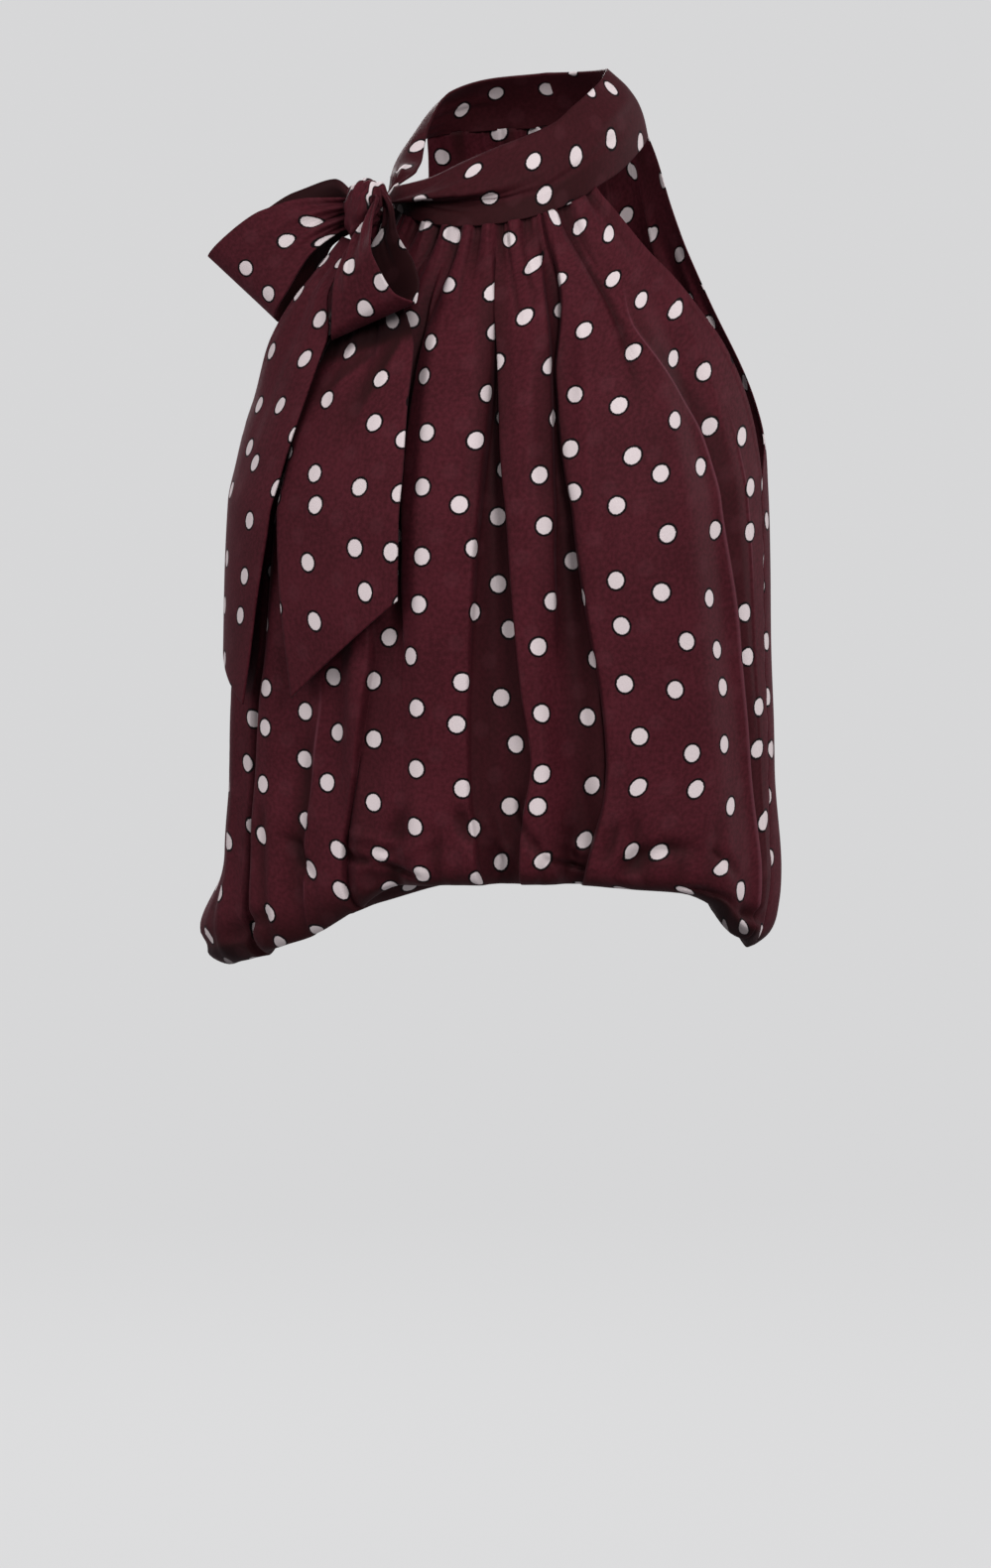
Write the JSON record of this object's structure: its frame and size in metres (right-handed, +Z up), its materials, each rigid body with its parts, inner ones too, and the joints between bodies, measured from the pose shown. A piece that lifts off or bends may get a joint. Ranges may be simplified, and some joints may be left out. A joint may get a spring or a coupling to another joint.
{
  "type": "high neck top",
  "caption": "Sleeveless halter blouse in burgundy spotted crepe, gathered into a high neck band tied in a bow at one side.",
  "frame": {"origin": "centre of the neck band's ring, on the axis of the wearer's neck, where the band holds the top up", "axes": "+Z up, -Y out of the wearer's front, +X towards the wearer's left"},
  "size_m": [0.3477, 0.2487, 0.5195],
  "materials": {
    "spotted_crepe": "soft matt crepe with a slight sheen, printed with pinkish white spots edged in black"
  },
  "bodies": {
    "root": {"front": "spotted_crepe", "back": "spotted_crepe", "neck_band": "spotted_crepe", "bow_knot": "spotted_crepe", "bow_loop_outer": "spotted_crepe", "bow_loop_inner": "spotted_crepe", "tie_tail_front": "spotted_crepe", "tie_tail_side": "spotted_crepe"}
  },
  "joints": []
}
